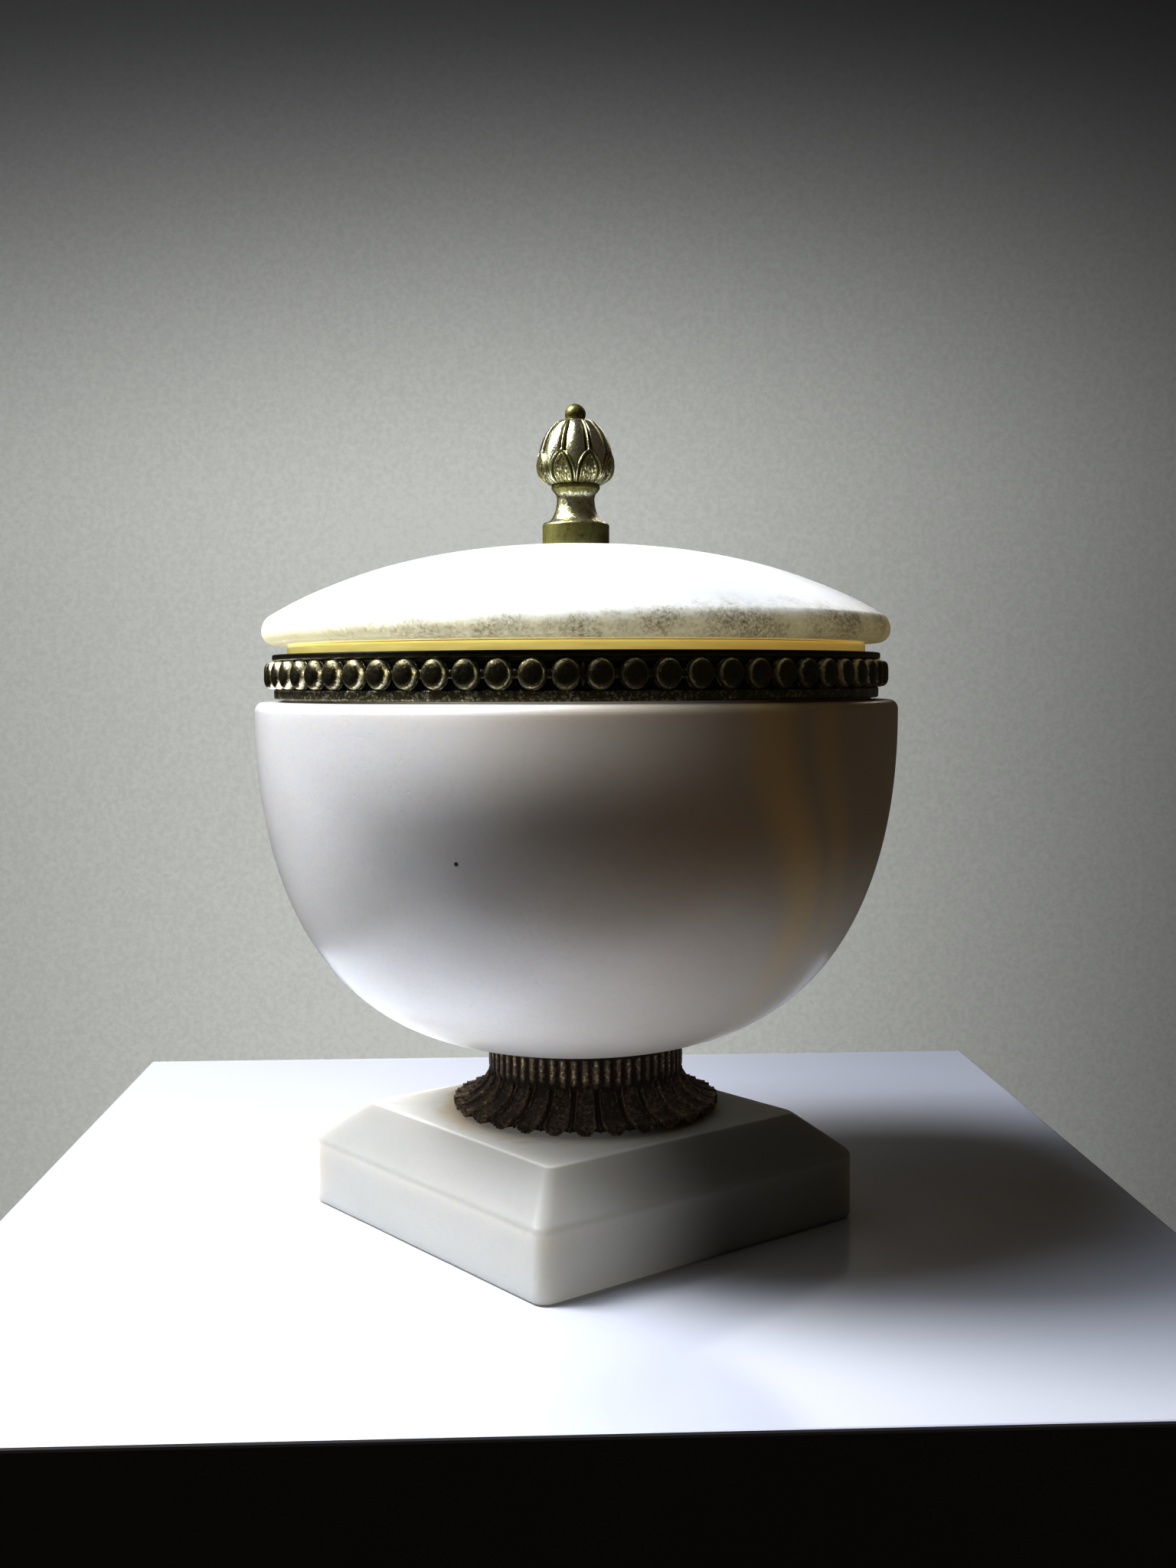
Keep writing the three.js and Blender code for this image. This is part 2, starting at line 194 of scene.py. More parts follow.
def softened(points, radii, steps):
    """An outline whose corners are rounded, each by its own radius."""
    soft = []
    for index, (point, radius) in enumerate(zip(points, radii)):
        here = Vector(point)
        if radius <= 0 or index in (0, len(points) - 1):
            soft.append(tuple(here))
            continue
        back = Vector(points[index - 1]) - here
        on = Vector(points[index + 1]) - here
        reach = min(radius, back.length * 0.49, on.length * 0.49)
        first, last = here + back.normalized() * reach, here + on.normalized() * reach
        for step in range(steps + 1):
            share = step / steps
            bent = first * (1 - share) ** 2 + here * 2 * share * (1 - share) + last * share ** 2
            soft.append(tuple(bent))
    return soft


def finished_piece(name, mesh, finish, node_name):
    """A piece whose place is in its mesh, smooth over its curves and flat on its flats."""
    for polygon in mesh.polygons:
        polygon.use_smooth = True
    if not mesh.materials:
        mesh.materials.append(finish)
    piece = bpy.data.objects.new(name, mesh)
    bpy.context.scene.collection.objects.link(piece)
    even = piece.modifiers.new("even shading", "WEIGHTED_NORMAL")
    even.keep_sharp = False
    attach(piece, "root")
    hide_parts(node_name)
    return piece


def plinth_mesh():
    side_steps, corner_steps, cap_steps = 26, 7, 12
    outline = [(0, 0), (plinth_half, 0), (plinth_half, plinth_upright),
               (plinth_top_half, plinth_height), (0, plinth_height)]
    arrises = (0, plinth_foot_arris, plinth_slope_arris, plinth_top_arris, 0)
    corners = softened(outline, arrises, 4)
    levels = []
    for (half, height), (next_half, next_height) in zip(corners, corners[1:]):
        pieces = cap_steps if 0 in (half, next_half) else max(1, round(abs(next_height - height) / 1.6))
        for step in range(pieces):
            share = step / pieces
            levels.append((half + (next_half - half) * share,
                           height + (next_height - height) * share))
    levels = [level for level in levels if level[0] > 0.5]
    shape = bmesh.new()
    rings = []
    for half, height in levels:
        climb = max(0.0, min(1.0, (height - plinth_upright) / (plinth_height - plinth_upright)))
        corner = min(plinth_corner + (plinth_top_corner - plinth_corner) * climb, half * 0.6)
        ring = []
        for point in rounded_square(half, corner, height, side_steps, corner_steps):
            sway = noise.noise(point / waver_length + Vector((3.1, 7.7, 1.3))) - 0.6
            wear = max(0.0, noise.noise(point / 3.1) - 0.32) * max(0.0, noise.noise(point / 17.0) + 0.1)
            edge = min(abs(height - plinth_upright), abs(height - plinth_height)) < 0.9
            inward = hand_waver * sway * (0 if half < 2 else 1) - chip_depth * wear * (2.2 if edge else 0.0)
            lean = Vector((point.x, point.y, 0)).normalized()
            if height >= plinth_height - 0.01:
                lean = Vector((0, 0, 1))
            elif height <= 0.01:
                lean = Vector((0, 0, 0))
            point = point + lean * min(0.0, inward)
            ring.append(shape.verts.new(point * mm))
        rings.append(ring)
    for low, high in zip(rings, rings[1:]):
        for index in range(len(low)):
            after = (index + 1) % len(low)
            shape.faces.new((low[index], low[after], high[after], high[index]))
    shape.faces.new(list(reversed(rings[0])))
    shape.faces.new(rings[-1])
    bmesh.ops.recalc_face_normals(shape, faces=shape.faces)
    mesh = bpy.data.meshes.new("plinth")
    shape.to_mesh(mesh)
    shape.free()
    return mesh


plinth_stone, tree, shader, place, colour = alabaster(
    "plinth alabaster", (0.43, 0.43, 0.415), (0.385, 0.39, 0.37), (0.33, 0.325, 0.27),
    (0.31, 0.12, 0.4), 1.0, 0.48)
parts = node(tree, "ShaderNodeSeparateXYZ", {0: place}).outputs
# Brass salts have stained the stone brown around the foot.
ragged = reckon(tree, "MULTIPLY_ADD", grain(tree, place, 0.007, 4, 0.7), 0.012, off_axis(tree, place))
stain = step_between(tree, ragged, 0.0365, 0.042, 0.75, 0.0)
on_top = step_between(tree, parts[2], 0.0240, 0.0249)
colour = blend(tree, product(tree, stain, on_top), colour, stone_damp)
# Below the top the stone is painted darker, most of all on the sloping edge: painted shade
# that tones down how brightly the lamps light these faces.
painted_slope_shade = product(tree, step_between(tree, parts[2], 0.0143, 0.0157, 0.4, 1.0),
              step_between(tree, parts[2], 0.0246, 0.0250, 1.0, 0.0))
colour = blend(tree, painted_slope_shade, colour, (0.60, 0.60, 0.60), "MULTIPLY")
# The foot of the upright sides is painted darker: a painted contact shadow where the slab meets the table.
painted_foot_shadow = step_between(tree, parts[2], 0.0, 0.0022, 0.5, 0.0)
colour = blend(tree, painted_foot_shadow, colour, (0.25, 0.24, 0.21))
tree.links.new(colour, shader.inputs["Base Color"])
# A weak emission paints a glow on the stone, strongest on the side towards the window and
# fading out just past the middle: painted light for what enters that side and comes out
# again round its corners.
through = step_between(tree, parts[0], -0.048, 0.008, 1.0, 0.0)
tree.links.new(blend(tree, through, (0.0, 0.0, 0.0), (1.0, 1.0, 0.97)), shader.inputs["Emission Color"])
shader.inputs["Emission Strength"].default_value = 0.23
shader.inputs["Subsurface Scale"].default_value = 0.020
shader.inputs["Specular IOR Level"].default_value = 0.25
finished_piece("plinth_slab", plinth_mesh(), plinth_stone, "plinth")

# LEAF FOOT
# A cast brass collar between plinth and bowl: reeds on its neck run down into a border of
# tongue-shaped leaves. It is cast in one piece, chased, and browned nearly black with age.

leaf_count = 28
foot_base = 25.5
foot_top = 41.8
foot_shift = 2.2           # the foot stands off the plinth's middle, along X
neck_radius = 23.3
neck_base = 36.5
neck_rim = 0.6
flange_radius = 31.4
flange_lip = 2.4
flange_arris = 0.8
foot_hollow = 26.0
foot_bore = 19.0
reed_depth = 0.75
leaf_swell = 0.9
leaf_ridge = 0.62
leaf_hollow = 0.42
leaf_gleam = 0.92          # how far the leaves' outlines are rubbed
gap_depth = 1.3


def ease(low, high, value):
    share = max(0.0, min(1.0, (value - low) / (high - low)))
    return share * share * (3 - 2 * share)


def round_hill(distance, width):
    return math.exp(-(distance / width) ** 2)


def cut_mesh(name, rows, turn, columns, shape_point):
    """One cut of a round piece. shape_point gives a point's radius, height and crest, which
    runs from 0 in the hollows to 1 on the ridges that hands and cloths have rubbed."""
    shape = bmesh.new()
    crest = shape.verts.layers.float.new("crest")
    grid = []
    for row in rows:
        line = []
        for column in range(columns + 1):
            across = column / columns - 0.5
            radius, height, rubbed = shape_point(row, across)
            bearing = across * turn
            point = Vector((radius * math.cos(bearing), radius * math.sin(bearing), height)) * mm
            vertex = shape.verts.new(point)
            vertex[crest] = rubbed
            line.append(vertex)
        grid.append(line)
    for low, high in zip(grid, grid[1:]):
        for index in range(columns):
            shape.faces.new((low[index], low[index + 1], high[index + 1], high[index]))
    mesh = bpy.data.meshes.new(name)
    shape.to_mesh(mesh)
    shape.free()
    return mesh


def round_piece_tree(name, inputs):
    """A geometry tree with a Geometry socket and the named inputs, and its two end nodes."""
    tree = bpy.data.node_groups.new(name, "GeometryNodeTree")
    tree.interface.new_socket("Geometry", in_out="INPUT", socket_type="NodeSocketGeometry")
    for label, kind in inputs:
        tree.interface.new_socket(label, in_out="INPUT", socket_type=kind)
    tree.interface.new_socket("Geometry", in_out="OUTPUT", socket_type="NodeSocketGeometry")
    return tree, node(tree, "NodeGroupInput").outputs, node(tree, "NodeGroupOutput")


def set_out_round_axis():
    """Tree: Count copies of one cut stand round Z from First Bearing. Each has a tone of its
    own, and copies that touch are welded."""
    tree, given, result = round_piece_tree("set out round the axis", (
        ("Count", "NodeSocketInt"), ("First Bearing", "NodeSocketFloat"), ("Weld", "NodeSocketFloat"),
        ("Tone Seed", "NodeSocketInt"), ("Finish", "NodeSocketMaterial")))
    marks = node(tree, "GeometryNodePoints", {"Count": given["Count"]})
    order = node(tree, "GeometryNodeInputIndex").outputs[0]
    pitch = reckon(tree, "DIVIDE", math.tau, given["Count"])
    bearing = reckon(tree, "MULTIPLY_ADD", order, pitch, given["First Bearing"])
    turn = node(tree, "ShaderNodeCombineXYZ", {"Z": bearing})
    copies = node(tree, "GeometryNodeInstanceOnPoints", {
        "Points": marks.outputs[0], "Instance": given["Geometry"], "Rotation": turn.outputs[0]})
    chance = node(tree, "FunctionNodeRandomValue", {"Seed": given["Tone Seed"]}, data_type="FLOAT")
    toned = node(tree, "GeometryNodeStoreNamedAttribute", {
        "Geometry": copies.outputs[0], "Name": "tone", "Value": chance.outputs[1]},
        data_type="FLOAT", domain="INSTANCE")
    real = node(tree, "GeometryNodeRealizeInstances", {"Geometry": toned.outputs[0]})
    welded = node(tree, "GeometryNodeMergeByDistance", {
        "Geometry": real.outputs[0], "Distance": given["Weld"]})
    dressed = node(tree, "GeometryNodeSetMaterial", {
        "Geometry": welded.outputs[0], "Material": given["Finish"]})
    tree.links.new(dressed.outputs[0], result.inputs[0])
    return tree


def made_by(tree, start, values, name):
    """The plain mesh that a geometry tree makes of a starting mesh."""
    blank = bpy.data.objects.new(name, start)
    bpy.context.scene.collection.objects.link(blank)
    step = blank.modifiers.new(tree.name, "NODES")
    step.node_group = tree
    for item in tree.interface.items_tree:
        if item.in_out == "INPUT" and item.name in values:
            step[item.identifier] = values[item.name]
    deps = bpy.context.evaluated_depsgraph_get()
    mesh = bpy.data.meshes.new_from_object(blank.evaluated_get(deps), depsgraph=deps)
    blank.modifiers.clear()
    bpy.data.objects.remove(blank)
    mesh.name = name
    shape = bmesh.new()
    shape.from_mesh(mesh)
    bmesh.ops.recalc_face_normals(shape, faces=shape.faces)
    shape.to_mesh(mesh)
    shape.free()
    return mesh


def arc(centre, half_width, half_height, start, end, steps):
    """Points on part of an ellipse, from one angle to another."""
    points = []
    for step in range(steps + 1):
        angle = start + (end - start) * step / steps
        points.append((centre[0] + half_width * math.cos(angle),
                       centre[1] + half_height * math.sin(angle)))
    return points


def divided(points, length):
    """The outline with more points, none further apart than length."""
    dense = [points[0]]
    for (radius, height), (next_radius, next_height) in zip(points, points[1:]):
        pieces = max(1, math.ceil(math.hypot(next_radius - radius, next_height - height) / length))
        for step in range(1, pieces + 1):
            share = step / pieces
            dense.append((radius + (next_radius - radius) * share,
                          height + (next_height - height) * share))
    return dense


def foot_rows():
    """The foot's outline from the top of its bore over neck, cove and lip to its underside,
    each point with its outward direction and its share of the way from neck to lip."""
    lip_top = foot_base + flange_lip
    cove = arc((flange_radius, neck_base), flange_radius - neck_radius, neck_base - lip_top,
               2 * quarter, 3 * quarter, 24)
    skin = [(neck_radius - 0.35, foot_top), (neck_radius, foot_top - 0.3)]
    skin += divided([(neck_radius, foot_top - neck_rim), (neck_radius, neck_base)], 0.4)
    skin += divided(cove, 0.34)[1:]
    skin += divided([(flange_radius, lip_top), (flange_radius, foot_base + flange_arris)], 0.3)[1:]
    skin += arc((flange_radius - flange_arris, foot_base + flange_arris), flange_arris, flange_arris,
                0, -quarter, 3)[1:]
    inside = [(foot_hollow, foot_base), (foot_bore, neck_base), (foot_bore, foot_top)]
    lengths = [0.0]
    for (radius, height), (next_radius, next_height) in zip(skin, skin[1:]):
        lengths.append(lengths[-1] + math.hypot(next_radius - radius, next_height - height))
    neck_length = foot_top - neck_base
    slope_length = lengths[-1] - neck_length
    rows = [(foot_bore, foot_top, 0.0, 0.0, None)]
    for index, (radius, height) in enumerate(skin):
        back, on = skin[max(0, index - 1)], skin[min(len(skin) - 1, index + 1)]
        along = Vector((on[0] - back[0], on[1] - back[1])).normalized()
        rows.append((radius, height, -along.y, along.x, (lengths[index] - neck_length) / slope_length))
    rows += [(radius, height, 0.0, 0.0, None) for radius, height in inside]
    return rows


def foot_point(row, across):
    radius, height, out, up, down = row
    if down is None:
        return radius, height, 0.0
    side = abs(across)
    rim_edge = foot_top - neck_rim
    rim = ease(rim_edge, rim_edge - 0.5, height) if height < rim_edge else 0.0
    # Two reeds stand over each leaf. They die out where the leaves begin.
    reed = abs(math.cos(across * 2 * math.pi)) ** 0.8
    reed_share = rim * (1 - ease(0.0, 0.2, down))
    lift = reed_depth * (reed - 1) * reed_share
    rubbed = 0.94 * reed ** 3 * reed_share
    # Each leaf is a tongue, narrow above and broad below, with a round tip on the lip.
    leaf_share = ease(0.03, 0.22, down)
    tip = max(0.0, (down - 0.70) / 0.27)
    root = max(0.0, 1 - down / 0.30)
    width = (0.375 - 0.12 * root ** 1.5) * math.sqrt(max(0.0, 1 - min(1.0, tip) ** 2.6))
    inside = ease(0.03, -0.03, side - width)
    swell = leaf_swell * (ease(0.1, 0.6, down) - 0.75) * (1 - 0.3 * (side / 0.42) ** 2)
    ridge = round_hill(side - width, 0.030) if tip < 1 else 0.0
    ridge = max(ridge, round_hill(tip - 1, 0.13) * ease(0.2, 0.1, side))
    hollow = leaf_hollow * inside * (1 - round_hill(side - width, 0.06))
    spine = 0.2 * round_hill(side, 0.04) * inside * ease(0.2, 0.5, down)
    # Between two leaves the narrow tip of a leaf behind them shows.
    behind = 0.5 - side
    small = round_hill(behind, 0.036) * ease(0.25, 0.6, down) * ease(1.0, 0.94, down)
    gap = 1 - inside
    leaf = swell * inside + leaf_ridge * ridge - hollow + spine - gap_depth * gap * (1 - 0.5 * small)
    lift += leaf * leaf_share
    leaf_rubbed = max(leaf_gleam * ridge, 0.42 * small, 1.7 * spine, 0.34 * inside)
    rubbed = max(rubbed, leaf_share * leaf_rubbed)
    lift = min(lift, 0.45)
    if down > 0.9:
        lift = min(lift, 0.05 + 1.6 * (1 - down))
    return radius + out * lift, height + up * lift, rubbed


def old_brass(name, gilt, brown, crust, rub, gloss, dull, speck, uneven, bare):
    """Brass gone brown with age, rubbed bright where its crest passes rub, with dark crust in
    its hollows. Its skin is uneven with specks, so that highlights break up."""
    finish, tree, shader, place = new_finish(name)
    crest = node(tree, "ShaderNodeAttribute", attribute_name="crest").outputs["Fac"]
    tone = node(tree, "ShaderNodeAttribute", attribute_name="tone").outputs["Fac"]
    fine = grain(tree, place, speck, 4, 0.65)
    broad = grain(tree, place, 0.005, 4, 0.6, 0.3)
    wear = reckon(tree, "MULTIPLY_ADD", reckon(tree, "SUBTRACT", fine, 0.5), uneven, crest)
    wear = reckon(tree, "MULTIPLY_ADD", reckon(tree, "SUBTRACT", broad, 0.5), uneven * 0.5, wear)
    wear = reckon(tree, "MULTIPLY_ADD", reckon(tree, "SUBTRACT", tone, 0.5), 0.12, wear)
    bright = step_between(tree, wear, rub, rub + 0.3)
    browned = step_between(tree, wear, rub - 0.65, rub - 0.1)
    colour = blend(tree, browned, crust, brown)
    colour = blend(tree, bright, colour, gilt)
    tree.links.new(colour, shader.inputs["Base Color"])
    tree.links.new(step_between(tree, bright, 0.0, 1.0, bare, 1.0), shader.inputs["Metallic"])
    rough = reckon(tree, "MULTIPLY_ADD", reckon(tree, "SUBTRACT", fine, 0.5), uneven * 0.25,
                   step_between(tree, wear, rub - 0.5, rub + 0.3, dull, gloss))
    tree.links.new(rough, shader.inputs["Roughness"])
    cast = grain(tree, place, speck * 0.5, 3, 0.6)
    relief = reckon(tree, "MULTIPLY_ADD", cast, 0.5, fine)
    raise_bumps(tree, shader, relief, speck * 0.17 * uneven)
    return finish


foot_brass = old_brass("foot brass", (0.90, 0.74, 0.44), (0.31, 0.23, 0.16),
                       (0.055, 0.04, 0.028), 0.83, 0.24, 0.5, 0.0008, 1.9, 0.3)
set_out = set_out_round_axis()
foot_cut = cut_mesh("foot cut", foot_rows(), math.tau / leaf_count, 34, foot_point)
foot_mesh = made_by(set_out, foot_cut, {
    "Count": leaf_count, "First Bearing": 0.0, "Weld": 0.00002, "Tone Seed": 4,
    "Finish": foot_brass}, "leaf_foot")
foot_mesh.transform(Matrix.Translation((foot_shift * mm, 0, 0)))
finished_piece("foot_casting", foot_mesh, foot_brass, "leaf_foot")

# BOWL
# One piece of turned alabaster, waxed to a satin gloss: a full round belly, a neck for the
# brass band, and a thin standing rim. Light gets through the stone, and makes the rim honey
# yellow: a weak emission paints in the part of it that the shader leaves out, and also paints
# light on the shoulder and the lower belly. The side away from the lamps is painted brown as shade.

bowl_facets = 224
bowl_seat = 42.1
bowl_seat_radius = 23.0
bowl_radius = 75.0
bowl_depth = 79.5
bowl_widest = 120.58
height_power = 2.21
radius_power = 3.02
shoulder_inset = 2.0
shoulder_height = 2.2
bowl_ledge = 122.78
bowl_neck_radius = 68.8
bowl_neck_top = 132.18
bowl_rim_radius = 67.5
bowl_rim_top = 135.48
bowl_mouth_radius = 62.0
inner_radius = 67.0
inner_widest = 112.78
inner_floor = 51.1
pit_bearing = math.radians(212.5)
pit_height = 0.0912
pit_size = 0.0006
view_bearing = math.radians(231.9)    # from the axis to the camera
toward = Vector((math.cos(view_bearing), math.sin(view_bearing), 0))
aside = Vector((-toward.y, toward.x, 0))
rim_to_window = (-13.4, 5.7, 0.0)      # the product with a place on the rim is 1 at most
streak_colour = (0.92, 0.68, 0.26)
painted_shade_brown = (0.56, 0.41, 0.24)
# Each streak's bearing at the top and low down, its half width and its strength.
streaks = ((263.6, 275.6, 0.062, 0.62), (275.3, 285.0, 0.045, 0.35))


def turned_on_axis():
    """Tree: an outline, given as a line of points, is turned about Z in Facets steps. The
    seam and the poles are welded."""
    tree, given, result = round_piece_tree("turned on the axis", (
        ("Facets", "NodeSocketInt"), ("Weld", "NodeSocketFloat"), ("Finish", "NodeSocketMaterial")))
    size = node(tree, "GeometryNodeAttributeDomainSize", {"Geometry": given["Geometry"]}, component="MESH")
    rows = size.outputs["Point Count"]
    columns = reckon(tree, "ADD", given["Facets"], 1.0)
    grid = node(tree, "GeometryNodeMeshGrid", {"Vertices X": columns, "Vertices Y": rows})
    order = node(tree, "GeometryNodeInputIndex").outputs[0]
    row = reckon(tree, "MODULO", order, rows)
    column = reckon(tree, "FLOOR", reckon(tree, "DIVIDE", order, rows))
    position = node(tree, "GeometryNodeInputPosition").outputs[0]
    outline = node(tree, "GeometryNodeSampleIndex", {
        "Geometry": given["Geometry"], "Value": position, "Index": row}, data_type="FLOAT_VECTOR")
    angle = reckon(tree, "MULTIPLY", column, reckon(tree, "DIVIDE", math.tau, given["Facets"]))
    turn = node(tree, "ShaderNodeVectorRotate", {"Vector": outline.outputs[0], "Angle": angle},
                rotation_type="Z_AXIS")
    placed = node(tree, "GeometryNodeSetPosition", {
        "Geometry": grid.outputs[0], "Position": turn.outputs[0]})
    welded = node(tree, "GeometryNodeMergeByDistance", {
        "Geometry": placed.outputs[0], "Distance": given["Weld"]})
    real = node(tree, "GeometryNodeRealizeInstances", {"Geometry": welded.outputs[0]})
    dressed = node(tree, "GeometryNodeSetMaterial", {
        "Geometry": real.outputs[0], "Material": given["Finish"]})
    tree.links.new(dressed.outputs[0], result.inputs[0])
    return tree


def outline_mesh(name, points):
    """A line of points at their radii and heights, for turning."""
    mesh = bpy.data.meshes.new(name)
    places = [(radius * mm, 0, height * mm) for radius, height in points]
    mesh.from_pydata(places, [(index, index + 1) for index in range(len(places) - 1)], [])
    return mesh


def belly(radius, depth, widest, flat_radius, steps):
    """The belly's rule: a squared-off oval, from a flat spot up to its widest circle."""
    start = math.acos((flat_radius / radius) ** (radius_power / 2))
    points = []
    for step in range(steps + 1):
        angle = start * (1 - step / steps)
        points.append((radius * math.cos(angle) ** (2 / radius_power),
                       widest - depth * math.sin(angle) ** (2 / height_power)))
    return points


def bowl_outline():
    ledge_edge = (bowl_radius - shoulder_inset, bowl_widest)
    shoulder = arc(ledge_edge, shoulder_inset, shoulder_height, 0, quarter, 8)
    above = softened([shoulder[-1], (bowl_neck_radius, bowl_ledge), (bowl_neck_radius, bowl_neck_top),
                      (bowl_rim_radius, bowl_neck_top), (bowl_rim_radius, bowl_rim_top),
                      (bowl_mouth_radius, bowl_rim_top), (bowl_mouth_radius, bowl_ledge),
                      (inner_radius, inner_widest)], (0, 0.4, 0.3, 0.3, 0.5, 0.9, 3.0, 0), 4)
    inner = belly(inner_radius, inner_widest - inner_floor, inner_widest, 0.0, 30)
    inner[0] = (0.0, inner_floor)
    return ([(0.0, bowl_seat), (bowl_seat_radius - 0.6, bowl_seat)]
            + belly(bowl_radius, bowl_depth, bowl_widest, bowl_seat_radius, 72)
            + shoulder[1:] + above[1:-1] + inner[::-1])


bowl_stone, tree, shader, place, colour = alabaster(
    "bowl alabaster", (0.84, 0.84, 0.835), (0.77, 0.77, 0.765), (0.62, 0.59, 0.50),
    (0.05, 0.2, 0.7), 0.5, 0.3)
parts = node(tree, "ShaderNodeSeparateXYZ", {0: place}).outputs
bearing = reckon(tree, "ARCTAN2", product(tree, parts[1], -1.0), product(tree, parts[0], -1.0))
sway = reckon(tree, "MULTIPLY_ADD", grain(tree, place, 0.022, 4, 0.6), 0.30, -0.15)
# The side away from the lamps is painted brown, more of it higher up: painted warm shade.
far = step_between(tree, reckon(tree, "ADD", bearing, sway), math.radians(28), math.radians(78))
behind = step_between(tree, bearing, math.radians(150), math.radians(178), 1.0, 0.0)
browned = product(tree, far, behind, step_between(tree, parts[2], 0.052, 0.098, 0.3, 0.8))
colour = blend(tree, browned, colour, painted_shade_brown)
# Two amber streaks run down through the stone on that side.
for top, low, half_width, strength in streaks:
    rise = step_between(tree, parts[2], 0.0736, 0.1174, math.radians(low - 180), math.radians(top - 180))
    away = reckon(tree, "MULTIPLY_ADD", sway, 0.25, reckon(tree, "SUBTRACT", bearing, rise))
    away = reckon(tree, "ABSOLUTE", away)
    streak = step_between(tree, away, half_width * 0.2, half_width * 2.2, strength, 0.0)
    fade = step_between(tree, parts[2], 0.044, 0.080)
    colour = blend(tree, product(tree, streak, fade), colour, streak_colour)
# A small dark pit on the lit side.
pit = (math.cos(pit_bearing) * 0.0722, math.sin(pit_bearing) * 0.0722, pit_height)
away = node(tree, "ShaderNodeVectorMath", {0: place, 1: pit}, operation="DISTANCE").outputs["Value"]
in_pit = step_between(tree, away, pit_size * 0.5, pit_size, 1.0, 0.0)
colour = blend(tree, in_pit, colour, (0.03, 0.025, 0.02))
# The thin rim lets light through: it is honey yellow above the band.
rim_share = step_between(tree, parts[2], 0.1318, 0.1324)
ripple = grain(tree, moved(tree, place, scale=(1, 1, 4)), 0.02, 4, 0.6)
honey = blend(tree, ripple, (0.73, 0.54, 0.19), (0.79, 0.66, 0.33))
colour = blend(tree, rim_share, colour, honey)
tree.links.new(colour, shader.inputs["Base Color"])
# The rim's emission is painted light: brighter on the side towards the window, streaky, and darker just
# above the band as painted shade.
lit = step_between(tree, far_along(tree, place, rim_to_window), -0.6, 0.9)
glow = blend(tree, lit, (0.28, 0.215, 0.065), (0.60, 0.61, 0.28))
streaked = grain(tree, moved(tree, place, scale=(1, 1, 14)), 0.012, 3, 0.6)
glow = blend(tree, step_between(tree, streaked, 0.35, 0.65, 0.0, 0.35), glow, (0.30, 0.19, 0.05))
near_band = step_between(tree, parts[2], 0.1326, 0.1352, 0.2, 0.0)
glow = blend(tree, near_band, glow, (0.28, 0.17, 0.05))
# The emission also paints light on the lower belly, for the table's light that gets through,
# and on a patch of the shoulder that faces the camera, for light through the shoulder.
beside = far_along(tree, place, aside)
hump = product(tree, step_between(tree, beside, -0.055, -0.02),
               step_between(tree, beside, -0.02, 0.045, 1.0, 0.0),
               step_between(tree, far_along(tree, place, toward), 0.0, 0.04),
               step_between(tree, parts[2], 0.098, 0.118))
through = reckon(tree, "ADD", hump, step_between(tree, parts[2], 0.052, 0.098, 0.75, 0.0))
through = blend(tree, through, (0.0, 0.0, 0.0), (0.235, 0.23, 0.22))
glow = blend(tree, rim_share, through, glow)
tree.links.new(glow, shader.inputs["Emission Color"])
shader.inputs["Emission Strength"].default_value = 1.0
shader.inputs["Coat Weight"].default_value = 0.6
shader.inputs["Coat Roughness"].default_value = 0.24

turning = turned_on_axis()
bowl_mesh = made_by(turning, outline_mesh("bowl outline", bowl_outline()), {
    "Facets": bowl_facets, "Weld": 0.00001, "Finish": bowl_stone}, "bowl")
finished_piece("bowl_turning", bowl_mesh, bowl_stone, "bowl")

# BEADED BAND
# A ring of stamped brass gallery strip, pressed over the bowl's neck: a plain fillet above, a
# row of round beads with small ties between them, and a lower fillet. Its ends meet in
# front, where a sliver of a cut bead shows.

band_base = 123.28
band_top = 133.48
band_bore = 69.1
band_ground = 70.0
top_fillet_radius = 70.9
top_fillet_height = 1.4
low_fillet_radius = 70.5
low_fillet_height = 2.2
band_lip_radius = 67.8
band_lip_underside = 132.48
bead_count = 66
bead_half_width = 2.8
bead_half_height = 3.15
bead_rise = 2.8
bead_middle = 128.78
bead_root = 0.5
bead_dent = 0.16           # how unevenly the beads are struck
bead_squareness = 0.60     # 1 is a round dome, and less is flatter with a rounder edge
sliver_half_width = 0.5
tie_half_width = 0.85
tie_half_height = 1.0
tie_rise = 0.75
joint_bearing = math.radians(233)
low_fillet_crest = 0.72    # how far the lower fillet is rubbed
top_edge_crest = 0.58      # and the step under the upper one


def band_outline():
    corners = [(band_bore, band_base), (low_fillet_radius, band_base),
               (low_fillet_radius + 0.05, band_base + low_fillet_height),
               (band_ground, band_base + low_fillet_height + 0.15),
               (band_ground, band_top - top_fillet_height - 0.1),
               (top_fillet_radius, band_top - top_fillet_height),
               (top_fillet_radius, band_top), (band_lip_radius, band_top),
               (band_lip_radius, band_lip_underside), (band_bore, band_lip_underside),
               (band_bore, band_base)]
    radii = (0, 0.5, 0.7, 0.3, 0.3, 0.35, 0.45, 0.2, 0.2, 0.2, 0)
    return divided(softened(corners, radii, 4), 0.8)


